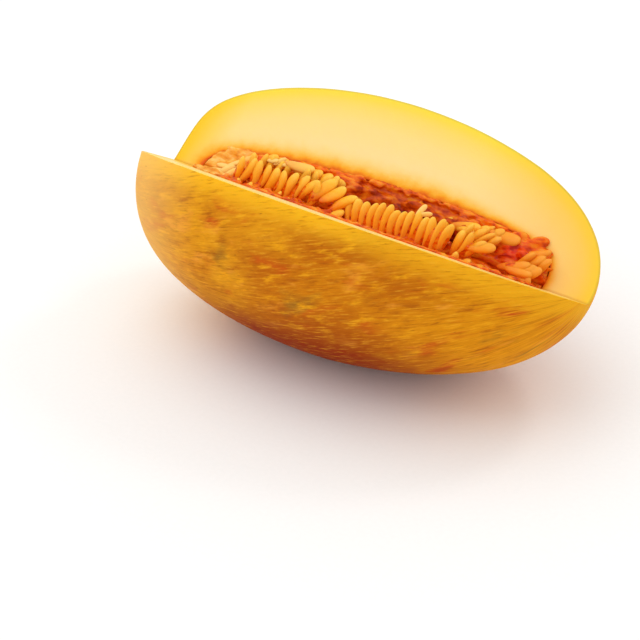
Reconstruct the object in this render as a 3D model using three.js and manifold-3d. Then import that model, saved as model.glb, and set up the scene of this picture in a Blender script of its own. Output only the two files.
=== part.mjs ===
// A long yellow melon lying on its side, with a wedge cut out of its top that bares the seeds.
// Millimetres, +Z up. The origin is the middle of the small flat spot that the melon rests on.
// The core of the fruit runs along X: the blunt stem end is at -X, the tapered blossom end at +X.
import * as THREE from "three";
import { mergeVertices } from "three/addons/utils/BufferGeometryUtils.js";
import Module from "manifold-3d";

const DEGREE = Math.PI / 180;

// Whole fruit
const MELON_LENGTH = 254.4;
const MELON_RADIUS = 75;
const STEM_END_ROUNDNESS = 5.28; // exponent of the end's curve: high is blunt, 2 is an ellipse
const BLOSSOM_END_ROUNDNESS = 2.08;
const TAPER = [-0.098, -0.116, 0.115]; // slow change of girth, in powers of the place along the core
const RIND_SIDES = 56;
const RIND_STEPS = 30;
const CURVE_STEPS = 400; // points of the fine curve that the steps are spaced along
const SWELL = 0.5; // depth of the soft uneven swelling of the rind

// Dry scar where the stem was attached: a low corky ring round a dimple, just under the cut
const SCAR_RADIUS = 7.5;
const SCAR_HEIGHT = 0.9;
const SCAR_DIMPLE = 1.3;
const SCAR_ROOT = 3;
const SCAR_DROP = 11; // from the core down to the middle of the scar
const SCAR_SIDES = 20;

// Flat spot that the fruit rests on, and the height of the core above it
const REST_DEPTH = 1.2;
const CORE_HEIGHT = MELON_RADIUS - REST_DEPTH;

// Wedge cut: two flat faces that meet in an edge just below the core
const REAR_RISE = 33.4 * DEGREE; // slope of each face, up and out from the edge
const FRONT_RISE = 31.5 * DEGREE;
const CUT_TILT = 2.58 * DEGREE; // the edge falls towards the blossom end
const CUT_EDGE_DROP = 3.2; // depth of the edge below the core at half length
const CUT_REACH = 140; // half width of the cutting wedge at its top, well outside the rind
const CUT_LENGTH = 330; // longer than the fruit

// Seed cavity round the core
const CAVITY_LENGTH = 210;
const CAVITY_RADIUS = 25.5;
const CAVITY_MIDDLE = -4; // from the middle of the fruit's length
const CAVITY_ROUNDNESS = 3.8;
const CAVITY_LEAN = 0.08; // wider towards the blossom end
const CAVITY_SIDES = 32;
const CAVITY_STEPS = 20;

// Lobes of soft tissue that fill the cavity and carry the seeds
const PULP_SUNK = 1.6; // depth of the tissue's top below the cut
const CLEFT_OFFSET = 2.5; // the cleft between the lobes lies this far behind the core
const GAP = 0.4; // clearance between the pieces

// Hollows where tissue tore out with the wedge: place along and across the core, and half sizes
const FRONT_HOLLOW = { x: 78, y: -4, half: [11, 7, 9] };
const REAR_HOLLOW = { x: 16, y: 11, half: [40, 9, 10] };

// Banks of tissue that the seeds' feet are sunk in: middle (over the cut's edge) and half sizes
const FRONT_BANKS = [
  { x: -53, y: -6, over: 1, half: [35, 5.5, 6.5] },
  { x: 22, y: -7.5, over: 1, half: [40, 5, 6] },
  { x: 60, y: -4.5, over: 1, half: [17, 5.5, 8] },
  { x: 91, y: -4, over: 0, half: [11, 5.5, 6.5] },
];
const REAR_BANKS = [
  { x: -54, y: 7, over: 1, half: [35, 5, 6.5] },
  { x: 60, y: 6, over: 1, half: [18, 5.5, 7.5] },
  { x: 91, y: 7, over: 0, half: [11, 6, 7] },
];
const BALL_SIDES = 16;

// Seeds: flat teardrops with the narrow end down
const SEED_LENGTH = 16.5;
const SEED_WIDTH = 7.2;
const SEED_THICKNESS = 4.5;
const SEED_SIDES = 6;
// Outline of a seed: place along its length and half width, both as shares
const SEED_OUTLINE = [[0, 0], [0.2, 0.78], [0.72, 1], [0.94, 0.62], [1, 0]];

// Rows of seeds along the core. A row has the seeds' middles at x (first, last and spacing), y and
// over (height over the cut's edge, at the first and last seed). Its angles are in degrees: lean to
// the back, nod along the core (first and last), twist about the seed's own length, and stray.
const FRONT_ROWS = [
  { x: [-80, -26, 5.4], y: -3.6, over: [9.4, 11.4], lean: 20, nod: [24, 32], twist: 46, stray: 10 },
  { x: [-78, -26, 6.4], y: -11, over: [0.4, 0.6], lean: 4, nod: [24, 30], twist: 30, stray: 12 },
  { x: [-9, 51, 4.35], y: -4.6, over: [8.2, 12.6], lean: 25, nod: [-4, 12], twist: -14, stray: 3 },
  { x: [-8, 50, 5.2], y: -12.5, over: [-1, -0.6], lean: -4, nod: [0, 12], twist: 0, stray: 7 },
  { x: [54, 67, 4.7], y: -3, over: [11.6, 11], lean: 14, nod: [32, 46], twist: 14, stray: 8 },
  { x: [54, 70, 5.2], y: -10, over: [2.4, 1.8], lean: 0, nod: [40, 56], twist: 20, stray: 14 },
  { x: [86, 99, 4.4], y: -3, over: [8.4, 6.6], lean: 10, nod: [66, 26], twist: 24, stray: 16 },
  { x: [84, 97, 5], y: -9.5, over: [3.4, 2.6], lean: 0, nod: [60, 40], twist: 30, stray: 16 },
];
const REAR_ROWS = [
  { x: [-80, -28, 5.6], y: 7.5, over: [8.6, 10], lean: 8, nod: [28, 36], twist: 40, stray: 11 },
  { x: [-74, -26, 7], y: 14.5, over: [9.8, 10], lean: -12, nod: [64, 74], twist: 30, stray: 10 },
  { x: [53, 68, 4.6], y: 6, over: [10.4, 10.4], lean: 10, nod: [36, 50], twist: 20, stray: 14 },
  { x: [50, 76, 6.6], y: 14, over: [10, 10], lean: -10, nod: [60, 76], twist: 20, stray: 14 },
  { x: [87, 99, 4.6], y: 7, over: [8.4, 7], lean: 0, nod: [62, 40], twist: 20, stray: 16 },
];
// What a stray of one degree does to the nod, the lean, the twist, and in mm to over and y
const STRAY_SHARES = { nod: 1.4, lean: 0.7, twist: 1.6, over: 0.06, y: 0.08 };

// Seeds that came loose and lie across the others: heading of the tip from the core's direction
const FRONT_LOOSE = [
  { x: -20, y: -3.5, over: 13.8, heading: 48, nod: 68, twist: 10 },
  { x: -13, y: -5, over: 12.6, heading: 46, nod: 68, twist: -6 },
  { x: -27, y: -2, over: 14.6, heading: 56, nod: 60, twist: 20 },
  { x: -16, y: -12, over: 6.4, heading: 30, nod: 62, twist: 0 },
  { x: 68, y: -4, over: 13.6, heading: 12, nod: 80, twist: 14 },
  { x: 90, y: -6, over: 8.6, heading: -10, nod: 84, twist: -12 },
  { x: -91, y: -1, over: 5.2, heading: 40, nod: 70, twist: 40, size: 0.6 },
  { x: -86, y: -5, over: 6, heading: 30, nod: 60, twist: 30, size: 0.7 },
  { x: -88, y: -9, over: 5.6, heading: 0, nod: 80, twist: 0, size: 0.6 },
];
const REAR_LOOSE = [
  { x: -49, y: 9, over: 16, heading: 8, nod: 94, twist: 24 },
  { x: -47, y: 12, over: 12.6, heading: 20, nod: 84, twist: -14 },
  { x: 72, y: 14, over: 11.4, heading: -4, nod: 90, twist: -30 },
  { x: 50, y: 12, over: 10.4, heading: -30, nod: 72, twist: -20 },
  { x: 58, y: 17, over: 10.4, heading: 30, nod: 76, twist: -20, size: 0.85 },
  { x: 90, y: 12, over: 9.6, heading: 20, nod: 80, twist: -10 },
  { x: -90, y: 6, over: 6.6, heading: 30, nod: 70, twist: 0, size: 0.6 },
  { x: -84, y: 10, over: 9, heading: 16, nod: 66, twist: 30, size: 0.7 },
];

const wasm = await Module();
wasm.setup();

// Joining and cutting of closed geometries
function toSolid(geometry) {
  const bare = geometry.clone();
  bare.deleteAttribute("normal");
  bare.deleteAttribute("uv");
  const merged = mergeVertices(bare, 1e-4);
  return new wasm.Manifold(
    new wasm.Mesh({
      numProp: 3,
      vertProperties: new Float32Array(merged.attributes.position.array),
      triVerts: new Uint32Array(merged.index.array),
    }),
  );
}

function toGeometry(solid) {
  const mesh = solid.getMesh();
  const geometry = new THREE.BufferGeometry();
  geometry.setAttribute("position", new THREE.BufferAttribute(mesh.vertProperties, 3));
  geometry.setIndex(new THREE.BufferAttribute(mesh.triVerts, 1));
  geometry.computeVertexNormals();
  return geometry;
}

// The same random numbers on every run
function seededRandom(seed) {
  let state = seed;
  return () => {
    state = (state * 1664525 + 1013904223) % 4294967296;
    return state / 4294967296;
  };
}

// Outline of a round body from a radius at each place c, from -1 at one end to 1 at the other
function outlineOf(length, radiusAt, steps) {
  const points = [];
  for (let i = 0; i <= steps; i++) {
    const c = -Math.cos((Math.PI * i) / steps);
    points.push(new THREE.Vector2(radiusAt(c), (c * length) / 2));
  }
  return points;
}

// The outline turned round the X axis
function turned(outline, sides) {
  outline[0].x = 0;
  outline[outline.length - 1].x = 0;
  return new THREE.LatheGeometry(outline, sides).rotateZ(-Math.PI / 2);
}

function moveVertices(geometry, move) {
  const position = geometry.attributes.position;
  const point = new THREE.Vector3();
  for (let i = 0; i < position.count; i++) {
    point.fromBufferAttribute(position, i);
    move(point);
    position.setXYZ(i, point.x, point.y, point.z);
  }
  return geometry;
}

// Rind: its girth along the core, with c from -1 at the stem end to 1 at the blossom end
function rindShape(c) {
  const middle = (STEM_END_ROUNDNESS + BLOSSOM_END_ROUNDNESS) / 2;
  const change = (BLOSSOM_END_ROUNDNESS - STEM_END_ROUNDNESS) / 2;
  const roundness = middle + change * c;
  const taper = 1 + TAPER[0] * c + TAPER[1] * c ** 2 + TAPER[2] * c ** 3;
  return Math.max(1 - c * c, 0) ** (1 / roundness) * taper;
}

function thickestPlace() {
  let best = 0;
  for (let c = -0.5; c <= 0.5; c += 0.001) {
    if (rindShape(c) > rindShape(best)) best = c;
  }
  return best;
}

const THICKEST = thickestPlace();
const rindRadius = (c) => (MELON_RADIUS * rindShape(c)) / rindShape(THICKEST);
const CORE_MIDDLE_X = (-THICKEST * MELON_LENGTH) / 2; // puts the thickest girth over the origin

// Outline of the rind, in even steps from end to end
function rindOutline() {
  const curve = new THREE.SplineCurve(outlineOf(MELON_LENGTH, rindRadius, CURVE_STEPS));
  curve.arcLengthDivisions = 4 * CURVE_STEPS;
  return curve.getSpacedPoints(RIND_STEPS);
}

// Slow uneven swelling round and along the fruit, none at the two ends
function swellRind(point) {
  const angle = Math.atan2(point.y, point.z);
  const girth = Math.hypot(point.y, point.z);
  const along = (Math.PI * point.x) / MELON_LENGTH;
  const wave = Math.sin(3 * angle + 1.2 * along) + 0.6 * Math.sin(7 * angle - 2.3 * along + 1);
  const share = Math.min(girth / MELON_RADIUS, 1) ** 2;
  const swell = 1 + (SWELL * wave * share) / MELON_RADIUS;
  point.y *= swell;
  point.z *= swell;
}

// Scar of the stem, its face towards -X and its root sunk in the rind
function stemScar() {
  const outline = [
    new THREE.Vector2(0, -SCAR_ROOT),
    new THREE.Vector2(SCAR_RADIUS, -SCAR_ROOT),
    new THREE.Vector2(SCAR_RADIUS, 0.2 * SCAR_HEIGHT),
    new THREE.Vector2(0.8 * SCAR_RADIUS, SCAR_HEIGHT),
    new THREE.Vector2(0.6 * SCAR_RADIUS, SCAR_HEIGHT),
    new THREE.Vector2(0.4 * SCAR_RADIUS, SCAR_HEIGHT - SCAR_DIMPLE),
    new THREE.Vector2(0, SCAR_HEIGHT - SCAR_DIMPLE),
  ];
  const scar = new THREE.LatheGeometry(outline, SCAR_SIDES).rotateZ(Math.PI / 2);
  return toSolid(scar.translate(-MELON_LENGTH / 2, 0, -SCAR_DROP));
}

// Space above the dimple, which clears the rind out of it
function scarDimple() {
  const radius = 0.4 * SCAR_RADIUS;
  const depth = SCAR_DIMPLE - SCAR_HEIGHT;
  const dimple = new THREE.CylinderGeometry(0.6 * SCAR_RADIUS, radius, SCAR_DIMPLE, SCAR_SIDES);
  dimple.rotateZ(Math.PI / 2).translate(-MELON_LENGTH / 2 + depth - SCAR_DIMPLE / 2, 0, -SCAR_DROP);
  return toSolid(dimple);
}

function wholeFruit() {
  const fruit = toSolid(moveVertices(turned(rindOutline(), RIND_SIDES), swellRind));
  return fruit.add(stemScar()).subtract(scarDimple());
}

// Wedge that is cut away, in the frame of the core; inset lifts it clear of the cut faces
function cutWedge(inset = 0) {
  const section = new THREE.Shape();
  section.moveTo(0, inset);
  section.lineTo(CUT_REACH, inset + CUT_REACH * Math.tan(REAR_RISE));
  section.lineTo(-CUT_REACH, inset + CUT_REACH * Math.tan(FRONT_RISE));
  const wedge = new THREE.ExtrudeGeometry(section, { depth: CUT_LENGTH, bevelEnabled: false });
  const across = new THREE.Vector3(0, 1, 0);
  const up = new THREE.Vector3(0, 0, 1);
  const along = new THREE.Vector3(1, 0, 0);
  wedge.translate(0, 0, -CUT_LENGTH / 2);
  wedge.applyMatrix4(new THREE.Matrix4().makeBasis(across, up, along));
  return toSolid(wedge.rotateY(CUT_TILT).translate(0, 0, -CUT_EDGE_DROP));
}

// Height of the cut faces over the core's middle
function cutHeight(x, y = 0) {
  const rise = y > 0 ? REAR_RISE : FRONT_RISE;
  return -CUT_EDGE_DROP - x * Math.tan(CUT_TILT) + Math.abs(y) * Math.tan(rise);
}

// Seed cavity, in the frame of the core
function cavityRadius(c) {
  return CAVITY_RADIUS * Math.max(1 - c * c, 0) ** (1 / CAVITY_ROUNDNESS) * (1 + CAVITY_LEAN * c);
}

function seedCavity(inset = 0) {
  const length = CAVITY_LENGTH - 2 * inset;
  const radiusAt = (c) => Math.max(cavityRadius(c) - inset, 0);
  const cavity = turned(outlineOf(length, radiusAt, CAVITY_STEPS), CAVITY_SIDES);
  return toSolid(cavity.translate(CAVITY_MIDDLE, 0, 0));
}

// What lies below the flat spot
function ground() {
  const block = new THREE.BoxGeometry(2 * MELON_LENGTH, 4 * MELON_RADIUS, MELON_RADIUS);
  return toSolid(block.translate(0, 0, -CORE_HEIGHT - MELON_RADIUS / 2));
}

function melonBody() {
  return wholeFruit().subtract(cutWedge()).subtract(seedCavity()).subtract(ground());
}

// One seed, its middle at the origin and its length along Z, thin along X, the narrow end down
function seedGeometry(size = 1) {
  const outline = SEED_OUTLINE.map(([along, half]) => {
    return new THREE.Vector2(half, (along - 0.5) * SEED_LENGTH);
  });
  const seed = new THREE.LatheGeometry(outline, SEED_SIDES).rotateX(Math.PI / 2);
  return seed.scale((size * SEED_THICKNESS) / 2, (size * SEED_WIDTH) / 2, size);
}

function rowOfSeeds(row, random) {
  const seeds = [];
  const [first, last, spacing] = row.x;
  for (let x = first; x < last; x += spacing) {
    const share = (x - first) / (last - first);
    const [nodStray, leanStray, twistStray, yStray] = Array.from({ length: 4 }, () => {
      return row.stray * (2 * random() - 1);
    });
    const lean = -row.lean - STRAY_SHARES.lean * leanStray;
    const nod = THREE.MathUtils.lerp(...row.nod, share) + STRAY_SHARES.nod * nodStray;
    const twist = row.twist + STRAY_SHARES.twist * twistStray;
    const over = THREE.MathUtils.lerp(...row.over, share) + STRAY_SHARES.over * nodStray;
    const turn = new THREE.Euler(lean * DEGREE, nod * DEGREE, twist * DEGREE);
    const place = new THREE.Matrix4().makeRotationFromEuler(turn);
    place.setPosition(x, row.y + STRAY_SHARES.y * yStray, cutHeight(x) + over);
    seeds.push(toSolid(seedGeometry().applyMatrix4(place)));
  }
  return seeds;
}

function looseSeed({ x, y, over, heading, nod, twist, size }) {
  const seed = seedGeometry(size).rotateZ(twist * DEGREE).rotateY(nod * DEGREE);
  return toSolid(seed.rotateZ(heading * DEGREE).translate(x, y, cutHeight(x) + over));
}

// Half of all space in front of the cleft (side -1) or behind it (side 1)
function sideOfCleft(side) {
  const size = 2 * MELON_LENGTH;
  const block = new THREE.BoxGeometry(size, size, size);
  return toSolid(block.translate(0, CLEFT_OFFSET + side * (size / 2 + GAP / 2), 0));
}

function ball(half, x, y, z) {
  const geometry = new THREE.SphereGeometry(1, BALL_SIDES, BALL_SIDES / 2);
  return toSolid(geometry.scale(...half).translate(x, y, z));
}

// A lobe: tissue that fills its side of the cavity up to just under the cut, with seeds sunk in it
function seedLobe(side, { rows, loose, banks, hollow, seed }) {
  const random = seededRandom(seed);
  let lobe = seedCavity(GAP).subtract(cutWedge(-PULP_SUNK));
  lobe = lobe.subtract(ball(hollow.half, hollow.x, hollow.y, cutHeight(hollow.x, hollow.y)));
  for (const bank of banks) {
    lobe = lobe.add(ball(bank.half, bank.x, bank.y, cutHeight(bank.x) + bank.over));
  }
  for (const row of rows) {
    for (const one of rowOfSeeds(row, random)) lobe = lobe.add(one);
  }
  for (const one of loose) lobe = lobe.add(looseSeed(one));
  const room = seedCavity(GAP).add(cutWedge(GAP));
  const pieces = lobe.intersect(room).intersect(sideOfCleft(side)).decompose();
  return pieces.sort((a, b) => b.volume() - a.volume())[0];
}

// The melon, with its core lifted to its height over the flat spot
const melon = new THREE.Group();
melon.position.set(CORE_MIDDLE_X, 0, CORE_HEIGHT);

function addPiece(name, solid, material) {
  const piece = new THREE.Mesh(toGeometry(solid), new THREE.MeshStandardMaterial(material));
  piece.name = name;
  melon.add(piece);
}

addPiece("melon_body", melonBody(), { color: 0xe3a330, roughness: 0.5, metalness: 0 });
const frontLobe = seedLobe(-1, {
  rows: FRONT_ROWS,
  loose: FRONT_LOOSE,
  banks: FRONT_BANKS,
  hollow: FRONT_HOLLOW,
  seed: 11,
});
addPiece("seed_lobe_front", frontLobe, { color: 0xec8a26, roughness: 0.35, metalness: 0 });

const rearLobe = seedLobe(1, {
  rows: REAR_ROWS,
  loose: REAR_LOOSE,
  banks: REAR_BANKS,
  hollow: REAR_HOLLOW,
  seed: 23,
});
addPiece("seed_lobe_rear", rearLobe, { color: 0xd9701f, roughness: 0.35, metalness: 0 });

export default melon;
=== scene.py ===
# %% [markdown]
# # A long yellow melon, cut open
#
# This notebook dresses a cut melon that lies on its side. Its measured solids come first, from a
# fixed frame, and each cell after that makes one thing that the eye looks for: the streaked rind,
# the knife's cut, the pale flesh, the wet red pulp and the seeds. The numbers are real sizes in
# millimetres, and they are only turned to Blender's metres when a mesh is made.

import math

import bmesh
import bpy
import numpy as np
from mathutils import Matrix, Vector, noise
from mathutils.bvhtree import BVHTree


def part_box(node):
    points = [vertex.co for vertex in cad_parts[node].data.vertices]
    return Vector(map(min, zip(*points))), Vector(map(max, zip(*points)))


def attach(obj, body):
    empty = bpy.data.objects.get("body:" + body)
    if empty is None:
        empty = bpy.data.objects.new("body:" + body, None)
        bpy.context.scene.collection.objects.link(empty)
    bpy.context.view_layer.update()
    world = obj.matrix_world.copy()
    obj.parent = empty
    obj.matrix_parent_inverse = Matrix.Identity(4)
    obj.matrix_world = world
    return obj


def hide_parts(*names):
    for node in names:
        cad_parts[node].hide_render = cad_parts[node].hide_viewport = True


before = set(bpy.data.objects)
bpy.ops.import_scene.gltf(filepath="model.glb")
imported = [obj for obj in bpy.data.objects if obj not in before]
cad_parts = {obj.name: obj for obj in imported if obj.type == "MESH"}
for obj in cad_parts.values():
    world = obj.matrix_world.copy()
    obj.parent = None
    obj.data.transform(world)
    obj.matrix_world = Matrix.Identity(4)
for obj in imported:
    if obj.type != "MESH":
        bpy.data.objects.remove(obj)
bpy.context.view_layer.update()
MM = 0.001
print("solids:", sorted(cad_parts))

# %% [markdown]
# ## Helpers
#
# A mesh is a list of points and a list of faces. Most forms here are closed skins made of rings
# of points, so one function joins rings into faces and closes the two ends. Working in numpy
# arrays keeps this fast: a whole rind is one formula on a grid, with no loop over its points.

# %% Meshes from rings of points
def ring_faces(rings, sides):
    """Faces of a closed skin: first point, rings of points one after the other, last point"""
    faces = []
    last = 1 + rings * sides
    for side in range(sides):
        beside = (side + 1) % sides
        faces.append((0, 1 + beside, 1 + side))
        for ring in range(rings - 1):
            start = 1 + ring * sides
            faces.append((start + side, start + beside, start + sides + beside, start + sides + side))
        end = 1 + (rings - 1) * sides
        faces.append((end + side, end + beside, last))
    return faces


def ring_points(rings):
    """Points of a closed skin from an array of rings, with a point in the middle of each end ring"""
    first = rings[0].mean(axis=0, keepdims=True)
    last = rings[-1].mean(axis=0, keepdims=True)
    return np.concatenate([first, rings.reshape(-1, 3), last])


def make_object(name, points, faces, *materials):
    """A smooth mesh object from points in millimetres"""
    mesh = bpy.data.meshes.new(name)
    mesh.from_pydata((points * MM).tolist(), [], faces)
    mesh.validate()
    mesh.shade_smooth()
    for material in materials:
        mesh.materials.append(material)
    obj = bpy.data.objects.new(name, mesh)
    bpy.context.scene.collection.objects.link(obj)
    return obj


def points_of(mesh):
    """The points of a mesh in millimetres"""
    flat = np.empty(3 * len(mesh.vertices))
    mesh.vertices.foreach_get("co", flat)
    return flat.reshape(-1, 3) / MM


def keep_value(mesh, name, values):
    """Stores one number, or one vector, for each point, for a material to read"""
    kind = "FLOAT_VECTOR" if values.ndim == 2 else "FLOAT"
    store = mesh.attributes.new(name, kind, "POINT").data
    store.foreach_set("vector" if values.ndim == 2 else "value", values.ravel())


def with_modifiers(obj):
    """The mesh that an object's modifiers make; the modifiers are then removed"""
    view = bpy.context.evaluated_depsgraph_get()
    mesh = bpy.data.meshes.new_from_object(obj.evaluated_get(view))
    old = obj.data
    obj.modifiers.clear()
    obj.data = mesh
    bpy.data.meshes.remove(old)
    return mesh


# %% [markdown]
# Soft waves come from Perlin noise, which Blender's `mathutils.noise` gives at any point in space.
# Stretching the place before it is read stretches the waves, so the same function makes round
# lumps and long ridges. It always gives the same value at the same place, with nothing random.

# %% Soft waves
def waves(points, size, shift=0.0):
    """Noise from about -1 to 1 at each point; size is the length of a wave in mm, or three of them"""
    places = points / np.broadcast_to(size, 3) + shift
    return np.array([noise.noise(place) for place in places.tolist()])


def step(low, high, value):
    """0 below low, 1 above high and a smooth climb between them"""
    share = np.clip((value - low) / (high - low), 0, 1)
    return share * share * (3 - 2 * share)


# %% [markdown]
# ## Colours and nodes
#
# A colour given here is an sRGB value, but a shader computes with linear light, so one function
# turns each hex value to linear. A material is a tree of nodes, and one small function adds any
# node: it fills or links the sockets it is told, and sets the node's other settings.

# %% Colours and nodes
def linear(hex_colour):
    """sRGB hex to the linear colour that shaders use"""
    shares = [int(hex_colour[i : i + 2], 16) / 255 for i in (1, 3, 5)]
    return tuple(s / 12.92 if s <= 0.04045 else ((s + 0.055) / 1.055) ** 2.4 for s in shares) + (1,)


def add(tree, kind, sockets=None, stops=None, **settings):
    """Adds a node and returns its first output in use; stops are the places and colours of a ramp"""
    node = tree.nodes.new("ShaderNode" + kind)
    for name, value in settings.items():
        setattr(node, name, value)
    if stops:
        ramp = node.color_ramp.elements
        ramp.remove(ramp[-1])
        ramp[0].position, ramp[0].color = stops[0][0], linear(stops[0][1])
        for place, colour in stops[1:]:
            ramp.new(place).color = linear(colour)
    open_sockets = {socket.name: socket for socket in node.inputs if socket.enabled}
    for name, value in (sockets or {}).items():
        socket = node.inputs[name] if isinstance(name, int) else open_sockets[name]
        if isinstance(value, bpy.types.NodeSocket):
            tree.links.new(value, socket)
        else:
            socket.default_value = value
    used = [socket for socket in node.outputs if socket.enabled]
    return used[0] if used else node


def new_material(name):
    material = bpy.data.materials.new(name)
    material.use_nodes = True
    material.node_tree.nodes.clear()
    return material, material.node_tree


# %% [markdown]
# ## Camera, light and floor
#
# The photograph looks down at the melon from its front and a little from its right. The camera
# stands there with a long lens, which keeps the far end nearly as large as the near one. A big
# soft light overhead and a white surrounding do what a light tent does: they leave no hard
# shadow, and they put broad, soft highlights on what is wet.

# %% Camera
CAMERA_PLACE = (0.42244, -0.66892, 0.49120)
CAMERA_BEARING = 33.1666
CAMERA_HEIGHT_ANGLE = 31.357
LENS = 95.625

camera_data = bpy.data.cameras.new("camera")
camera_data.lens = LENS
camera_data.sensor_width = 36
camera = bpy.data.objects.new("camera", camera_data)
camera.location = CAMERA_PLACE
camera.rotation_euler = (math.radians(90 - CAMERA_HEIGHT_ANGLE), 0, math.radians(CAMERA_BEARING))
bpy.context.scene.collection.objects.link(camera)
bpy.context.scene.camera = camera
bpy.context.scene.view_settings.view_transform = "Standard"
print("camera", tuple(round(v, 3) for v in camera.location))


# %% Lights
def soft_light(name, place, size, power, colour):
    """A square light that faces the middle of the melon"""
    data = bpy.data.lights.new(name, "AREA")
    data.size = size
    data.energy = power
    data.color = linear(colour)[:3]
    light = bpy.data.objects.new(name, data)
    light.location = place
    aim = Vector((0, 0, 0.05)) - light.location
    light.rotation_euler = aim.to_track_quat("-Z", "Y").to_euler()
    bpy.context.scene.collection.objects.link(light)


soft_light("key light", (-0.4, -0.2, 1.2), 1.4, 5.0, "#FFFDF8")
soft_light("glint light", (0.3, 0.6, 0.9), 0.2, 1.0, "#FFFFFF")

world = bpy.data.worlds.new("light tent")
bpy.context.scene.world = world
world.use_nodes = True
backdrop = world.node_tree.nodes["Background"]
backdrop.inputs["Color"].default_value = linear("#FDFEFF")
backdrop.inputs["Strength"].default_value = 0.84

# %% Floor
FLOOR_HALF = 3000
corners = np.array([(-1, -1, 0), (1, -1, 0), (1, 1, 0), (-1, 1, 0)]) * FLOOR_HALF
paper, tree = new_material("white paper")
grain = add(tree, "TexNoise", {"Scale": 2500.0, "Detail": 2.0})
shade = add(tree, "ValToRGB", {"Fac": grain}, [(0.3, "#FCFCFB"), (0.7, "#FEFEFD")])
surface = add(tree, "BsdfPrincipled", {"Base Color": shade, "Roughness": 0.9, "IOR": 1.5})
add(tree, "OutputMaterial", {"Surface": surface})
floor = make_object("floor", corners, [(0, 1, 2, 3)], paper)

# %% [markdown]
# ## The whole fruit
#
# The melon grew as one round body, blunt at the stem end and tapered at the blossom end. It could
# be sculpted, but a lathe is closer to how it grew: an outline turned round the core, then pushed
# in and out a little by soft waves, since no fruit is quite round. The outline is a curve of the
# type (1 - c²) to a power, where a small power gives a blunt end. Rings are spaced evenly along
# the outline, and closer together round the scar of the stem, which needs finer points.

# %% Outline of the rind
LENGTH = 254.4
RADIUS = 75.0
STEM_ROUNDNESS = 5.28
BLOSSOM_ROUNDNESS = 2.08
TAPER = (-0.098, -0.116, 0.115)
REST_DEPTH = 1.2
SCAR_HEIGHT = 0.9

# The core's middle, from the frame: the scar is the frame's lowest x
melon_low = np.array(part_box("melon_body")[0]) / MM
CORE = np.array([melon_low[0] + SCAR_HEIGHT + LENGTH / 2, 0, RADIUS - REST_DEPTH])


def rind_shape(c):
    middle = (STEM_ROUNDNESS + BLOSSOM_ROUNDNESS) / 2
    change = (BLOSSOM_ROUNDNESS - STEM_ROUNDNESS) / 2
    taper = 1 + TAPER[0] * c + TAPER[1] * c**2 + TAPER[2] * c**3
    return np.maximum(1 - c * c, 0) ** (1 / (middle + change * c)) * taper


def outline(radius_at, length, weights):
    """Places along the core and radii, as many as weights, which say how close the points stand"""
    c = -np.cos(np.linspace(0, np.pi, 4001))
    x = c * length / 2
    radius = radius_at(c)
    run = np.concatenate([[0], np.cumsum(np.hypot(np.diff(x), np.diff(radius)))])
    stops = np.cumsum(weights) / np.sum(weights) * run[-1]
    return np.interp(stops, run, x), np.interp(stops, run, radius)


SHAPE_PEAK = rind_shape(np.linspace(-0.5, 0.5, 1001)).max()
RIND_RINGS = 230
RIND_SIDES = 300
SCAR_RINGS = 60
weights = np.where(np.arange(RIND_RINGS) < SCAR_RINGS, 0.35, 1.0)
rind_x, rind_radius = outline(lambda c: RADIUS * rind_shape(c) / SHAPE_PEAK, LENGTH, weights)
rind_x, rind_radius = rind_x[:-1], rind_radius[:-1]
print("core at", CORE.round(2), "thickest", round(rind_radius.max(), 2), "mm")

# %% Turn the outline and let it swell
SWELL = 0.5
turn = np.linspace(2 * np.pi, 0, RIND_SIDES, endpoint=False)
angle, x_grid = np.meshgrid(turn, rind_x)
radius_grid = np.repeat(rind_radius[:, None], RIND_SIDES, axis=1)
along = np.pi * x_grid / LENGTH
slow = np.sin(3 * angle + 1.2 * along) + 0.6 * np.sin(7 * angle - 2.3 * along + 1)
radius_grid = radius_grid + SWELL * slow * (radius_grid / RADIUS) ** 3
rind = np.stack([x_grid, radius_grid * np.sin(angle), radius_grid * np.cos(angle)], axis=2)
flat = rind.reshape(-1, 3)
outward = flat * (0, 1, 1) / np.hypot(flat[:, 1], flat[:, 2])[:, None]
lumps = 0.22 * waves(flat, (26, 14, 14)) + 0.06 * waves(flat, (7, 3.2, 3.2), 5.0)
flat = flat + outward * lumps[:, None]
print("rind points:", len(flat))

# %% [markdown]
# The stem has dropped off and left a dry, corky scar: a low ring round a dimple. It is pressed
# into the same skin, as a height that depends on the distance from the scar's middle.

# %% Scar of the stem
SCAR_RADIUS = 7.5
SCAR_DIMPLE = 1.3
SCAR_DROP = 11.0
scar_y = flat[:, 1]
scar_z = flat[:, 2] + SCAR_DROP
scar_reach = np.hypot(scar_y, scar_z) * (1 + 0.06 * np.sin(5 * np.arctan2(scar_y, scar_z)))
ring_up = step(1.05, 0.8, scar_reach / SCAR_RADIUS)
ring_down = step(0.6, 0.38, scar_reach / SCAR_RADIUS)
near_stem = flat[:, 0] < -LENGTH / 2 + 12
cork = 0.12 * waves(flat, 1.3, 2.0) * ring_up
flat[:, 0] -= near_stem * (SCAR_HEIGHT * 0.86 * ring_up - SCAR_DIMPLE * ring_down + cork)
flat[:, 2] = np.maximum(flat[:, 2], -CORE[2])
rind = flat.reshape(RIND_RINGS - 1, RIND_SIDES, 3)
fruit_points = ring_points(rind) + CORE
fruit_faces = ring_faces(RIND_RINGS - 1, RIND_SIDES)
print("scar ring", SCAR_RADIUS * 2, "mm wide")

# %% [markdown]
# ## The knife's cut and the seed cavity
#
# A long knife went in twice and met just below the core, so a wedge is missing. It is cut here as
# it was cut there: a closed wedge is made and taken away with a Boolean. The wedge's two faces are
# fine grids with the faint waves that a blade leaves in soft flesh. The cavity round the core is
# taken away in the same way, by a lumpy body of its own, before any seeds go in.

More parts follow.
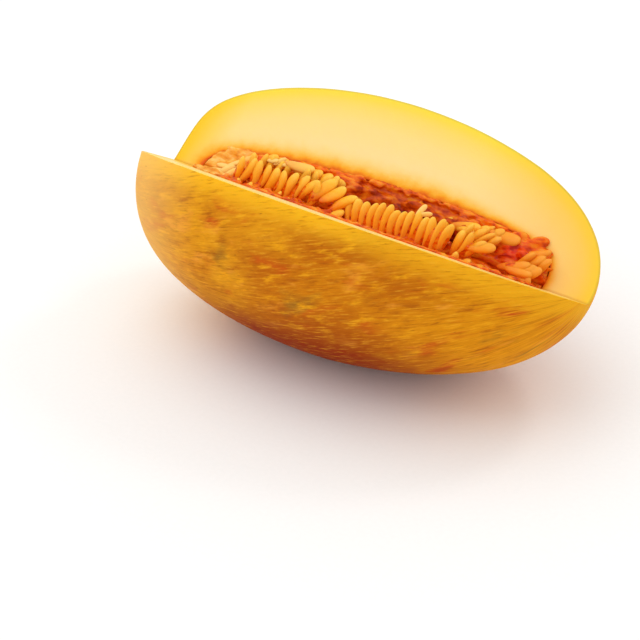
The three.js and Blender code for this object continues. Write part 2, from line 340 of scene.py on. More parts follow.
# %% Wedge that the knife took
REAR_SLOPE = math.tan(math.radians(33.4))
FRONT_SLOPE = math.tan(math.radians(31.5))
CUT_FALL = math.tan(math.radians(2.58))
CUT_EDGE_DROP = 3.2
CUT_HALF_WIDTH = 140
CUT_HALF_LENGTH = 145


def cut_height(x, y):
    """Height of the cut faces over the core's middle"""
    slope = np.where(np.asarray(y) > 0, REAR_SLOPE, FRONT_SLOPE)
    return -CUT_EDGE_DROP - CUT_FALL * x + slope * np.abs(y)


out = np.linspace(0, CUT_HALF_WIDTH, 100)
side_y = np.concatenate([out, -out[:0:-1]])
side_x = np.linspace(-CUT_HALF_LENGTH, CUT_HALF_LENGTH, 190)
y_grid, x_grid = np.meshgrid(side_y, side_x)
wedge = np.stack([x_grid, y_grid, cut_height(x_grid, y_grid)], axis=2)
flat = wedge.reshape(-1, 3)
blade = 0.3 * waves(flat, (60, 34, 34), 8.0) + 0.035 * waves(flat, (9, 2.4, 2.4), 1.0)
flat[:, 2] += blade * step(0, 8, np.abs(flat[:, 1]))
wedge_points = ring_points(wedge) + CORE
wedge_faces = ring_faces(*wedge.shape[:2])
print("wedge faces:", len(wedge_faces))

# %% Seed cavity
CAVITY_LENGTH = 210
CAVITY_RADIUS = 25.5
CAVITY_MIDDLE = -4
CAVITY_ROUNDNESS = 3.8
CAVITY_LEAN = 0.08
CAVITY_RINGS = 190
CAVITY_SIDES = 144


def cavity_radius(c, roundness=CAVITY_ROUNDNESS):
    return CAVITY_RADIUS * np.maximum(1 - c * c, 0) ** (1 / roundness) * (1 + CAVITY_LEAN * c)


cavity_x, cavity_r = outline(cavity_radius, CAVITY_LENGTH, np.ones(CAVITY_RINGS))
cavity_x, cavity_r = cavity_x[:-1] + CAVITY_MIDDLE, cavity_r[:-1]
turn = np.linspace(2 * np.pi, 0, CAVITY_SIDES, endpoint=False)
angle, x_grid = np.meshgrid(turn, cavity_x)
radius_grid = np.repeat(cavity_r[:, None], len(turn), axis=1)
cavity = np.stack([x_grid, radius_grid * np.sin(angle), radius_grid * np.cos(angle)], axis=2)
flat = cavity.reshape(-1, 3)
outward = flat * (0, 1, 1) / np.hypot(flat[:, 1], flat[:, 2])[:, None]
flat += outward * (0.4 * waves(flat, (11, 7, 7)) + 0.15 * waves(flat, (3, 2, 2)))[:, None]
cavity_points = ring_points(cavity) + CORE
cavity_faces = ring_faces(*cavity.shape[:2])
print("cavity", round(2 * cavity_r.max(), 1), "mm wide")

# %% [markdown]
# ## Finish of the rind
#
# The skin is a thin waxy cuticle over golden cells. What gives it its look is growth: as the
# fruit stretched, its colour was drawn out along its length into fine streaks half a millimetre
# and more wide, with ochre and orange-brown patches and a few grey and greenish bruised ones.
# Painted shade turns the underside red-brown, and painted light turns the rind golden up to the
# cut. Light and dark mottles of a few millimetres lie over that. Each point of the skin carries
# its own place, measured along the core and round it, so that noise read at that place stretches
# along the fruit.

# %% Rind material
def streaks(tree, place, stretch, size, **settings):
    """Noise drawn out along the fruit: stretch times longer than its size in mm"""
    mapped = add(tree, "Mapping", {"Vector": place, "Scale": (1 / stretch, 1, 1)})
    return add(tree, "TexNoise", {"Vector": mapped, "Scale": 1 / size, **settings})


def mix(tree, share, a, b, blend="MIX"):
    return add(
        tree, "Mix", {"Factor": share, "A": a, "B": b}, data_type="RGBA", blend_type=blend
    )


def band(tree, value, low, high):
    """0 below low, 1 above high"""
    return add(tree, "MapRange", {"Value": value, "From Min": low, "From Max": high},
               interpolation_type="SMOOTHSTEP")


waxy_rind, tree = new_material("waxy melon rind")
skin = add(tree, "Attribute", attribute_name="skin").node.outputs["Vector"]
under = add(tree, "Attribute", attribute_name="painted_shade_underside").node.outputs["Fac"]
scar = add(tree, "Attribute", attribute_name="scar").node.outputs["Fac"]
painted_light_near_cut = add(tree, "Attribute", attribute_name="painted_light_near_cut").node.outputs["Fac"]
tips = add(tree, "Attribute", attribute_name="blossom_end").node.outputs["Fac"]
stem_end = add(tree, "Attribute", attribute_name="stem_end").node.outputs["Fac"]

golden_patches_and_painted_light = add(tree, "Attribute", attribute_name="golden_patches_and_painted_light").node.outputs["Fac"]
dark_patches_and_painted_shade = add(tree, "Attribute", attribute_name="dark_patches_and_painted_shade").node.outputs["Fac"]

broad = streaks(tree, skin, 2.5, 34, Detail=3.0, Roughness=0.55)
colour = add(tree, "ValToRGB", {"Fac": broad},
             [(0.3, "#B85A08"), (0.45, "#C8700A"), (0.6, "#DA860E"), (0.75, "#CC7A0C")])
colour = mix(tree, tips, colour, linear("#E6960E"))
# Paler golden patches, partly the rind's own colour, partly painted light.
colour = mix(tree, golden_patches_and_painted_light, colour, linear("#EAA018"))
# Darker patches, partly the rind's own colour, partly painted shade.
colour = mix(tree, dark_patches_and_painted_shade, colour, linear("#B45408"))
rust = band(tree, streaks(tree, skin, 2.2, 15, Detail=4.0, Distortion=0.6), 0.54, 0.72)
colour = mix(tree, rust, colour, linear("#CC4E12"))
bruise = band(tree, streaks(tree, skin, 1.6, 21, Detail=3.0, Distortion=0.4), 0.6, 0.8)
colour = mix(tree, bruise, colour, linear("#A26A1C"))
blush = band(tree, streaks(tree, skin, 2.0, 12, Detail=3.0, Distortion=0.3), 0.42, 0.26)
colour = mix(tree, blush, colour, linear("#EE9A2C"))
mottle = streaks(tree, skin, 2.6, 4.5, Detail=4.0, Roughness=0.6)
colour = mix(tree, band(tree, mottle, 0.5, 0.75), colour, linear("#F0A416"))
colour = mix(tree, band(tree, mottle, 0.48, 0.26), colour, linear("#BC680E"))
# Painted light: the rind is painted golden up to the cut's edges, where it faces the light.
colour = mix(tree, painted_light_near_cut, colour, linear("#FFBC1E"))
# Painted shade: the rind is painted red-brown low down on its underside.
colour = mix(tree, under, colour, linear("#8E2204"))
fine = streaks(tree, skin, 8, 1.1, Detail=5.0, Roughness=0.6)
pale = band(tree, fine, 0.5, 0.85)
dark = band(tree, fine, 0.5, 0.15)
colour = mix(tree, pale, colour, linear("#F8B42C"))
colour = mix(tree, dark, colour, linear("#A0500A"))
colour = mix(tree, stem_end, colour, linear("#FFC86C"))
dashes = band(tree, streaks(tree, skin, 5, 0.9, Detail=1.0), 0.74, 0.88)
colour = mix(tree, dashes, colour, linear("#8A4A10"))
colour = mix(tree, scar, colour, linear("#B8854E"))

pores = add(tree, "TexVoronoi", {"Vector": skin, "Scale": 0.45})
height = add(tree, "Math", {0: fine, 1: 0.35}, operation="MULTIPLY")
height = add(tree, "Math", {0: band(tree, pores, 0.0, 0.25), 1: height}, operation="ADD")
bump = add(tree, "Bump", {"Height": height, "Strength": 0.35, "Distance": 0.12 * MM})
gloss = add(tree, "MapRange", {"Value": broad, "To Min": 0.55, "To Max": 0.68})
surface = add(tree, "BsdfPrincipled", {
    "Base Color": colour, "Roughness": gloss, "IOR": 1.45, "Normal": bump,
    "Subsurface Weight": 0.12, "Subsurface Radius": (1.0, 0.4, 0.1), "Subsurface Scale": 3 * MM,
    "Specular IOR Level": 0.05,
})
add(tree, "OutputMaterial", {"Surface": surface})
print("rind material nodes:", len(tree.nodes))

# %% [markdown]
# ## Finish of the flesh
#
# Ripe flesh is wet, pale and full of light. From the skin inwards it goes from a thin grey-green
# line through a yellow band to pale cream, and it turns orange again near the cavity. Two numbers
# at each point, its depth under the skin and its distance from the cavity, drive two colour ramps.
# Light enters and comes out again a few millimetres away, which subsurface scattering gives.

# %% Flesh material
DEPTH_SPAN = 40
HALO_SPAN = 16

wet_flesh, tree = new_material("wet melon flesh")
place = add(tree, "TexCoord").node.outputs["Object"]
along = add(tree, "SeparateXYZ", {"Vector": place})
depth = add(tree, "Attribute", attribute_name="depth").node.outputs["Fac"]
halo = add(tree, "Attribute", attribute_name="from_cavity").node.outputs["Fac"]
painted_crease_shade = add(tree, "Attribute", attribute_name="painted_crease_shade").node.outputs["Fac"]
stray = add(tree, "TexNoise", {"Vector": place, "Scale": 150.0, "Detail": 4.0})
stray = add(tree, "MapRange", {"Value": stray, "To Min": -3.2, "To Max": 2.8})
depth_share = add(tree, "MapRange", {"Value": depth, "From Max": DEPTH_SPAN})
colour = add(tree, "ValToRGB", {"Fac": depth_share}, [
    (0.0, "#D2B83C"), (0.02, "#E8D048"), (0.035, "#FADA44"), (0.1, "#FBD850"),
    (0.22, "#FCD86C"), (0.5, "#FDDB8A"), (0.9, "#FEDD99"),
])
halo = add(tree, "Math", {0: halo, 1: stray}, operation="ADD")
halo_share = add(tree, "MapRange", {"Value": halo, "From Max": HALO_SPAN})
halo_colour = add(tree, "ValToRGB", {"Fac": halo_share}, [
    (0.0, "#E0640A"), (0.08, "#F08C12"), (0.17, "#FAAC24"), (0.32, "#FCC24A"), (0.6, "#FDD274"),
    (1.0, "#FDDB8A"),
])
inner = band(tree, halo, HALO_SPAN, 2.0)
colour = mix(tree, inner, colour, halo_colour)
ends = add(tree, "MapRange", {"Value": along, "From Min": -112 * MM, "From Max": 142 * MM})
tint = add(tree, "ValToRGB", {"Fac": ends}, [
    (0.0, "#FFE890"), (0.04, "#FFF4BC"), (0.1, "#FFFFFF"), (0.66, "#FFFFFF"), (0.85, "#FFF0DC"),
    (1.0, "#FFF0DC"),
])
colour = mix(tree, 1.0, colour, tint, "MULTIPLY")
# Painted shade: a darker line along the crease where the two cut faces meet.
colour = mix(tree, painted_crease_shade, colour, linear("#D08A28"))
grain = add(tree, "TexNoise", {"Vector": place, "Scale": 1500.0, "Detail": 3.0})
cells = add(tree, "TexVoronoi", {"Vector": place, "Scale": 1100.0})
height = add(tree, "Math", {0: grain, 1: cells}, operation="ADD")
bump = add(tree, "Bump", {"Height": height, "Strength": 0.25, "Distance": 0.15 * MM})
wet = add(tree, "MapRange", {"Value": grain, "To Min": 0.28, "To Max": 0.5})
surface = add(tree, "BsdfPrincipled", {
    "Base Color": colour, "Roughness": wet, "IOR": 1.36, "Normal": bump,
    "Subsurface Weight": 0.35, "Subsurface Radius": (1.0, 0.6, 0.25), "Subsurface Scale": 3.5 * MM,
    "Specular IOR Level": 0.15,
})
add(tree, "OutputMaterial", {"Surface": surface})

# %% Cavity wall material
cavity_wall, tree = new_material("torn fibrous cavity wall")
place = add(tree, "TexCoord").node.outputs["Object"]
mapped = add(tree, "Mapping", {"Vector": place, "Scale": (0.3, 1, 1)})
fibre = add(tree, "TexNoise", {"Vector": mapped, "Scale": 600.0, "Detail": 5.0})
colour = add(tree, "ValToRGB", {"Fac": fibre},
             [(0.3, "#C85008"), (0.5, "#F08010"), (0.7, "#FAA428")])
bump = add(tree, "Bump", {"Height": fibre, "Strength": 0.6, "Distance": 0.4 * MM})
surface = add(tree, "BsdfPrincipled", {
    "Base Color": colour, "Roughness": 0.3, "IOR": 1.36, "Normal": bump,
    "Subsurface Weight": 0.3, "Subsurface Radius": (1.0, 0.35, 0.1), "Subsurface Scale": 3 * MM,
    "Coat Weight": 0.5, "Coat Roughness": 0.12,
})
add(tree, "OutputMaterial", {"Surface": surface})

# %% [markdown]
# ## Cutting the melon
#
# A Boolean modifier takes one closed mesh from another. Faces keep their material's number, so
# the skin stays slot 0, what the knife bared becomes slot 1 and the cavity's wall slot 2. Edges
# between two materials are marked sharp: a knife leaves a crisp edge, and without the mark the
# smooth shading would round it off.

# %% Take the wedge and the cavity away
FLESH, WALL = 1, 2  # the rind is slot 0
finishes = (waxy_rind, wet_flesh, cavity_wall)
melon = make_object("melon", fruit_points, fruit_faces, *finishes)
wedge_cutter = make_object("wedge", wedge_points, wedge_faces, *finishes)
cavity_cutter = make_object("cavity", cavity_points, cavity_faces, *finishes)
for cutter, slot in ((wedge_cutter, FLESH), (cavity_cutter, WALL)):
    for face in cutter.data.polygons:
        face.material_index = slot
    cut = melon.modifiers.new(cutter.name, "BOOLEAN")
    cut.operation = "DIFFERENCE"
    cut.solver = "MANIFOLD"
    cut.object = cutter
with_modifiers(melon)
for cutter in (wedge_cutter, cavity_cutter):
    bpy.data.objects.remove(cutter)
print("melon faces:", len(melon.data.polygons))

# %% Crisp edges
shape = bmesh.new()
shape.from_mesh(melon.data)
bmesh.ops.triangulate(shape, faces=[face for face in shape.faces if len(face.verts) > 4])
for edge in shape.edges:
    slots = {face.material_index for face in edge.link_faces}
    edge.smooth = len(slots) == 1
open_edges = sum(not edge.is_manifold for edge in shape.edges)
shape.to_mesh(melon.data)
shape.free()
print("open edges:", open_edges)

# %% [markdown]
# ## Values for the finishes
#
# Each point now gets the numbers that the materials read. A search tree finds the nearest point
# of the uncut skin, and the distance to it is how deep the point lies in the flesh. The same is
# done for the cavity.

# %% Depth under the skin and distance from the cavity
points = points_of(melon.data)
whole = BVHTree.FromPolygons(fruit_points.tolist(), fruit_faces)
hollow = BVHTree.FromPolygons(cavity_points.tolist(), cavity_faces)
depth = np.array([whole.find_nearest(p)[3] for p in points.tolist()])
from_cavity = np.array([hollow.find_nearest(p)[3] for p in points.tolist()])
keep_value(melon.data, "depth", depth)
# The orange line round the cavity is narrower towards the blossom end.
narrower = 1 + 1.2 * step(25, 90, (points - CORE)[:, 0])
keep_value(melon.data, "from_cavity", from_cavity * narrower)
print("deepest point", round(depth.max(), 1), "mm under the skin")

# %% Places on the skin
# The streaks wind slowly round the fruit: TWIST is the turn in radians for each mm along the core.
# Two sets of patches follow: paler golden ones, partly the rind's own colour and partly painted
# light, and darker ones, partly its own colour and partly painted shade. Each has its middle in mm
# along the core and in degrees round it from below, and its reach both ways.
TWIST = 0.0042
GOLDEN_PATCHES_AND_PAINTED_LIGHT = [
    dict(x=-64, round=-104, reach=(26, 14)),
    dict(x=-16, round=-106, reach=(19, 7)),
    dict(x=-40, round=-86, reach=(16, 12)),
    dict(x=-56, round=-64, reach=(30, 14)),
]
DARK_PATCHES_AND_PAINTED_SHADE = [
    dict(x=26, round=-72, reach=(26, 14)),
    dict(x=58, round=-98, reach=(22, 9)),
    dict(x=34, round=-111, reach=(10, 5)),
]


def patches(places, x, degrees):
    """How far each point lies in any of the patches: along the core, and round it from below"""
    shares = np.zeros(len(x))
    for one in places:
        along = (x - one["x"]) / one["reach"][0]
        across = (degrees - one["round"]) / one["reach"][1]
        shares += np.exp(-(along**2) - across**2)
    return np.clip(shares, 0, 1)


core_points = points - CORE
round_core = np.arctan2(core_points[:, 1], -core_points[:, 2]) + TWIST * core_points[:, 0]
skin_place = np.stack(
    [core_points[:, 0], RADIUS * np.sin(round_core), RADIUS * np.cos(round_core)], axis=1
)
keep_value(melon.data, "skin", skin_place)
degrees = np.degrees(np.arctan2(core_points[:, 1], -core_points[:, 2]))
keep_value(melon.data, "golden_patches_and_painted_light", 0.75 * patches(GOLDEN_PATCHES_AND_PAINTED_LIGHT, core_points[:, 0], degrees))
keep_value(melon.data, "dark_patches_and_painted_shade", 0.55 * patches(DARK_PATCHES_AND_PAINTED_SHADE, core_points[:, 0], degrees))
# Painted shade on the underside: red-brown low down, along the middle part of the fruit's length.
shade_along = step(95, 25, core_points[:, 0]) * step(-90, -30, core_points[:, 0])
keep_value(melon.data, "painted_shade_underside", 0.95 * step(-12, -46, core_points[:, 2]) * shade_along)
keep_value(melon.data, "blossom_end", 0.8 * step(30, 95, core_points[:, 0]))
keep_value(melon.data, "stem_end", 0.66 * step(-56, -112, core_points[:, 0]))
# Painted light: golden rind within about 19 mm under the cut, weaker towards the blossom end.
over_cut = cut_height(core_points[:, 0], core_points[:, 1]) - core_points[:, 2]
painted_light_near_cut = step(19, 1, over_cut) * (0.92 - 0.3 * step(10, 60, core_points[:, 0]))
keep_value(melon.data, "painted_light_near_cut", painted_light_near_cut)
scar_reach = np.hypot(core_points[:, 1], core_points[:, 2] + SCAR_DROP)
on_scar = step(1.15, 0.9, scar_reach / SCAR_RADIUS) * (core_points[:, 0] < -LENGTH / 2 + 12)
keep_value(melon.data, "scar", on_scar)
# Painted shade along the crease where the two cut faces meet, within about 1.2 mm of it.
keep_value(melon.data, "painted_crease_shade", 0.6 * step(1.2, 0, np.abs(core_points[:, 1])))

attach(melon, "root")
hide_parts("melon_body")
print("melon triangles about", 2 * len(melon.data.polygons))

# %% [markdown]
# ## Seeds
#
# A melon seed is a flat teardrop, about 16 mm long, 7 mm wide and, with its wet skin, 4 mm thick.
# One seed is a short stack of oval rings. All the others are copies of it, each with its own size
# and turn, and all copies go into one mesh, which is far lighter than hundreds of objects. A small
# generator of random numbers with a fixed start gives the same seeds every time.

# %% One seed
SEED_LENGTH = 16.5
SEED_WIDTH = 7.2
SEED_THICKNESS = 4.5
SEED_RINGS = 17
SEED_SIDES = 20
share = (1 - np.cos(np.linspace(0, np.pi, SEED_RINGS + 2)[1:-1])) / 2
half = (1 - np.abs(2 * share - 1) ** 2.5) ** 0.5 * (0.68 + 0.32 * share**0.8)
turn = np.linspace(0, 2 * np.pi, SEED_SIDES, endpoint=False)
seed_rings = np.stack([
    np.cos(turn) * half[:, None] * SEED_THICKNESS / 2,
    np.sin(turn) * half[:, None] * SEED_WIDTH / 2,
    np.repeat((share[:, None] - 0.5) * SEED_LENGTH, SEED_SIDES, axis=1),
], axis=2)
seed_points = ring_points(seed_rings)
seed_points[0, 2] = -SEED_LENGTH / 2
seed_points[-1, 2] = SEED_LENGTH / 2
seed_faces = ring_faces(SEED_RINGS, SEED_SIDES)
seed_along = seed_points[:, 2] / SEED_LENGTH + 0.5
print("one seed:", len(seed_faces), "faces")


# %% Random numbers and turns
def seeded(state):
    """Numbers from 0 to 1, the same on every run"""
    while True:
        state = (state * 1664525 + 1013904223) % 4294967296
        yield state / 4294967296


def turn_about(axis, degrees):
    """Matrix that turns points about the x, y or z axis"""
    a, b = {"x": (1, 2), "y": (2, 0), "z": (0, 1)}[axis]
    matrix = np.eye(3)
    c, s = math.cos(math.radians(degrees)), math.sin(math.radians(degrees))
    matrix[a, a], matrix[a, b], matrix[b, a], matrix[b, b] = c, -s, s, c
    return matrix


# %% [markdown]
# The seeds hang in lobes of soft tissue, two of which are left in the cavity with a cleft between
# them. In each lobe they stand in rows along the core. Near the stem end they slant, in the middle
# they stand upright like the teeth of a comb, and near the blossom end the knife tumbled them.
# A row says where its seeds' middles are: along the core, across it and over the cut's edge. It
# also says how far they lean to the back, how far they nod along the core, how far their flat side
# is turned to the front, and how far they stray from all that, in degrees.

# %% Rows of seeds
FRONT, REAR = -1, 1
ROWS = {
    FRONT: [
        dict(x=(-80, -26), step=5.4, y=-3.6, over=(9.4, 11.4), lean=20, nod=(24, 32), twist=46, stray=10),
        dict(x=(-78, -26), step=6.4, y=-11, over=(0.4, 0.6), lean=4, nod=(24, 30), twist=30, stray=12),
        dict(x=(-9, 51), step=4.35, y=-4.6, over=(8.2, 12.6), lean=25, nod=(-4, 12), twist=-14, stray=3),
        dict(x=(-8, 50), step=5.2, y=-12.5, over=(-1, -0.6), lean=-4, nod=(0, 12), twist=0, stray=7),
        dict(x=(54, 67), step=4.7, y=-3, over=(11.6, 11), lean=14, nod=(32, 46), twist=14, stray=8),
        dict(x=(54, 70), step=5.2, y=-10, over=(2.4, 1.8), lean=0, nod=(40, 56), twist=20, stray=14),
        dict(x=(86, 99), step=4.4, y=-3, over=(8.4, 6.6), lean=10, nod=(66, 26), twist=24, stray=16),
        dict(x=(84, 97), step=5, y=-9.5, over=(3.4, 2.6), lean=0, nod=(60, 40), twist=30, stray=16),
    ],
    REAR: [
        dict(x=(-80, -28), step=5.6, y=7.5, over=(8.6, 10), lean=8, nod=(28, 36), twist=40, stray=11),
        dict(x=(-74, -26), step=7, y=14.5, over=(9.8, 10), lean=-12, nod=(64, 74), twist=30, stray=10),
        dict(x=(53, 68), step=4.6, y=6, over=(10.4, 10.4), lean=10, nod=(36, 50), twist=20, stray=14),
        dict(x=(50, 76), step=6.6, y=14, over=(10, 10), lean=-10, nod=(60, 76), twist=20, stray=14),
        dict(x=(87, 99), step=4.6, y=7, over=(8.4, 7), lean=0, nod=(62, 40), twist=20, stray=16),
    ],
}


def row_of_seeds(row, numbers):
    """Turn, middle, size and paleness of each seed in one row"""
    seeds = []
    first, last = row["x"]
    for x in np.arange(first, last, row["step"]):
        stray = [row["stray"] * (2 * next(numbers) - 1) for _ in range(4)]
        nod = np.interp(x, row["x"], row["nod"]) + 1.4 * stray[0]
        over = np.interp(x, row["x"], row["over"]) + 0.06 * stray[0]
        matrix = turn_about("x", -row["lean"] - 0.7 * stray[1]) @ turn_about("y", nod)
        matrix = matrix @ turn_about("z", row["twist"] + 1.6 * stray[2])
        middle = np.array((x, row["y"] + 0.08 * stray[3], cut_height(x, 0) + over))
        seeds.append((matrix, middle, 1.0, 0.0))
    return seeds


# %% [markdown]
# A few seeds came loose and lie across the others, with a flat side up. Each is given one by one:
# its middle as for a row, the heading of its tip from the core's direction, and how far it nods.
# Near the stem end the seeds never ripened: they are small, and pale like the tissue round them.

# %% Loose and unripe seeds
LOOSE = {
    FRONT: [
        dict(x=-20, y=-3.5, over=13.8, heading=48, nod=68, twist=10),
        dict(x=-13, y=-5, over=12.6, heading=46, nod=68, twist=-6, size=1.04),
        dict(x=-27, y=-2, over=14.6, heading=56, nod=60, twist=20),
        dict(x=-16, y=-12, over=6.4, heading=30, nod=62, twist=0),
        dict(x=68, y=-4, over=13.6, heading=12, nod=80, twist=14),
        dict(x=90, y=-6, over=8.6, heading=-10, nod=84, twist=-12),
        dict(x=-97, y=-3.5, over=4.2, heading=20, nod=84, twist=10, size=0.55, pale=1.0),
        dict(x=-91, y=-1, over=5.2, heading=40, nod=70, twist=40, size=0.6, pale=1.0),
        dict(x=-86, y=-5, over=6.0, heading=30, nod=60, twist=30, size=0.7, pale=0.8),
        dict(x=-88, y=-9, over=5.6, heading=0, nod=80, twist=0, size=0.6, pale=0.9),
        dict(x=30, y=1.5, over=19.6, heading=70, nod=60, twist=30, size=0.46, pale=1.0),
        dict(x=33, y=0.5, over=18.8, heading=20, nod=80, twist=80, size=0.4, pale=1.0),
    ],
    REAR: [
        dict(x=-49, y=9, over=16, heading=8, nod=94, twist=24, pale=0.45),
        dict(x=-47, y=12, over=12.6, heading=20, nod=84, twist=-14),
        dict(x=-66, y=8, over=15.0, heading=0, nod=80, twist=10, size=0.5, pale=1.0),
        dict(x=-62, y=9, over=15.4, heading=50, nod=70, twist=50, size=0.45, pale=1.0),
        dict(x=-58.5, y=8, over=14.9, heading=10, nod=88, twist=10, size=0.42, pale=1.0),
        dict(x=72, y=14, over=12.2, heading=-4, nod=90, twist=30, size=1.12),
        dict(x=50, y=12, over=10.4, heading=-30, nod=72, twist=-20),
        dict(x=58, y=17, over=10.4, heading=30, nod=76, twist=-20, size=0.85),
        dict(x=90, y=12, over=9.6, heading=20, nod=80, twist=-10),
        dict(x=36, y=13, over=6.6, heading=60, nod=60, twist=10, size=0.8),
        dict(x=43, y=15, over=8.4, heading=40, nod=66, twist=-10, size=0.85),
        dict(x=66, y=11, over=10.6, heading=50, nod=70, twist=0, size=0.85),
        dict(x=30, y=10, over=5.4, heading=-20, nod=78, twist=10, size=0.75),
        dict(x=-90, y=6, over=6.6, heading=30, nod=70, twist=0, size=0.6, pale=1.0),
        dict(x=-84, y=10, over=9.0, heading=16, nod=66, twist=30, size=0.7, pale=0.7),
        dict(x=-96, y=3.4, over=4.6, heading=-10, nod=84, twist=20, size=0.5, pale=1.0),
    ],
}


def loose_seed(one):
    matrix = turn_about("z", one["heading"]) @ turn_about("y", one["nod"])
    middle = np.array((one["x"], one["y"], cut_height(one["x"], 0) + one["over"]))
    matrix = matrix @ turn_about("z", one["twist"])
    return matrix, middle, one.get("size", 1.0), one.get("pale", 0.0)


lobe_seeds = {}
for side, start in ((FRONT, 11), (REAR, 23)):
    numbers = seeded(start)
    lobe_seeds[side] = [seed for row in ROWS[side] for seed in row_of_seeds(row, numbers)]
    lobe_seeds[side] += [loose_seed(one) for one in LOOSE[side]]
    print("seeds in lobe:", len(lobe_seeds[side]))


# %% [markdown]
# Seeds that lie against the flesh are pressed to it and never go through it. A point that would
# be inside the flesh moves to the nearer of the cavity's wall and the cut face.

# %% Press against the flesh
CLEFT_OFFSET = 2.5
GAP = 0.4


def press_in(points, gap):
    c = np.clip((points[:, 0] - CAVITY_MIDDLE) / (CAVITY_LENGTH / 2), -1, 1)
    wall = np.maximum(cavity_radius(c) - gap, 0.1)
    reach = np.maximum(np.hypot(points[:, 1], points[:, 2]), 0.01)
    top = cut_height(points[:, 0], points[:, 1]) + gap
    inside = (reach > wall) & (points[:, 2] < top)
    lift = inside & (top - points[:, 2] < reach - wall)
    pull = inside & ~lift
    points = points.copy()
    points[lift, 2] = top[lift]
    points[pull, 1:] *= (wall / reach)[pull, None]
    return points


# %% [markdown]
# ## Finish of the seeds
#
# A fresh seed is coated in a thin wet film. Its shell is pale, and the orange pulp shows through
# the film and deepens towards its narrow end, where it was attached. Each seed has a tone of its
# own, so no two neighbours look alike.

# %% Seed material
wet_seed, tree = new_material("wet melon seed")
place = add(tree, "TexCoord").node.outputs["Object"]
along = add(tree, "Attribute", attribute_name="along").node.outputs["Fac"]
tone = add(tree, "Attribute", attribute_name="tone").node.outputs["Fac"]
pale = add(tree, "Attribute", attribute_name="pale").node.outputs["Fac"]
red = add(tree, "Attribute", attribute_name="red").node.outputs["Fac"]
film = add(tree, "TexNoise", {"Vector": place, "Scale": 350.0, "Detail": 3.0})
film = add(tree, "MapRange", {"Value": film, "To Min": -0.25, "To Max": 0.25})
level = add(tree, "Math", {0: along, 1: film}, operation="ADD")
colour = add(tree, "ValToRGB", {"Fac": level}, [
    (0.0, "#E04C02"), (0.2, "#F08008"), (0.45, "#FBA212"), (0.7, "#FEB628"), (1.0, "#FFC84A"),
])
share = add(tree, "Math", {0: tone, 1: 0.6}, operation="MULTIPLY")
colour = mix(tree, share, colour, linear("#FFC040"))
colour = mix(tree, red, colour, linear("#E86204"))
colour = mix(tree, pale, colour, linear("#FFD074"))
bump = add(tree, "Bump", {"Height": film, "Strength": 0.3, "Distance": 0.3 * MM})
surface = add(tree, "BsdfPrincipled", {
    "Base Color": colour, "Roughness": 0.34, "IOR": 1.4, "Normal": bump,
    "Specular IOR Level": 0.16,
    "Subsurface Weight": 0.2, "Subsurface Radius": (1.0, 0.8, 0.5), "Subsurface Scale": 1.5 * MM,
    "Coat Weight": 0.1, "Coat Roughness": 0.12,
})
add(tree, "OutputMaterial", {"Surface": surface})

# %% Pulp material
seed_pulp, tree = new_material("wet red-orange pulp")
place = add(tree, "TexCoord").node.outputs["Object"]
deep_red_and_painted_shade = add(tree, "Attribute", attribute_name="deep_red_and_painted_shade").node.outputs["Fac"]
pale = add(tree, "Attribute", attribute_name="pale").node.outputs["Fac"]
gel = add(tree, "Attribute", attribute_name="gel").node.outputs["Fac"]
mapped = add(tree, "Mapping", {"Vector": place, "Rotation": (0, 0, 0.5), "Scale": (0.45, 1, 1)})
flow = add(tree, "TexNoise", {"Vector": mapped, "Scale": 380.0, "Detail": 4.0})
colour = add(tree, "ValToRGB", {"Fac": flow},
             [(0.34, "#C23A02"), (0.5, "#F06A06"), (0.66, "#F79A1C")])
# Painted shade: this darker ramp goes where the pulp lies deep under the cut and in the torn hollow, over
# its own deeper red.
dark = add(tree, "ValToRGB", {"Fac": flow},
           [(0.34, "#5A0602"), (0.5, "#A61A04"), (0.66, "#E04A0C")])
unripe = add(tree, "ValToRGB", {"Fac": flow},
             [(0.34, "#E48A20"), (0.5, "#F8AE3C"), (0.66, "#FBCC70")])
fresh = add(tree, "ValToRGB", {"Fac": flow},
            [(0.34, "#B00C02"), (0.5, "#E42A04"), (0.66, "#F66A30")])
colour = mix(tree, deep_red_and_painted_shade, colour, dark)
colour = mix(tree, gel, colour, fresh)
colour = mix(tree, pale, colour, unripe)
ripple = add(tree, "TexNoise", {"Vector": place, "Scale": 700.0, "Detail": 3.0})
bump = add(tree, "Bump", {"Height": ripple, "Strength": 0.4, "Distance": 0.4 * MM})
surface = add(tree, "BsdfPrincipled", {
    "Base Color": colour, "Roughness": 0.25, "IOR": 1.38, "Normal": bump,
    "Specular IOR Level": 0.16,
    "Subsurface Weight": 0.25, "Subsurface Radius": (1.0, 0.25, 0.08), "Subsurface Scale": 2 * MM,
    "Coat Weight": 0.1, "Coat Roughness": 0.08,
})
add(tree, "OutputMaterial", {"Surface": surface})

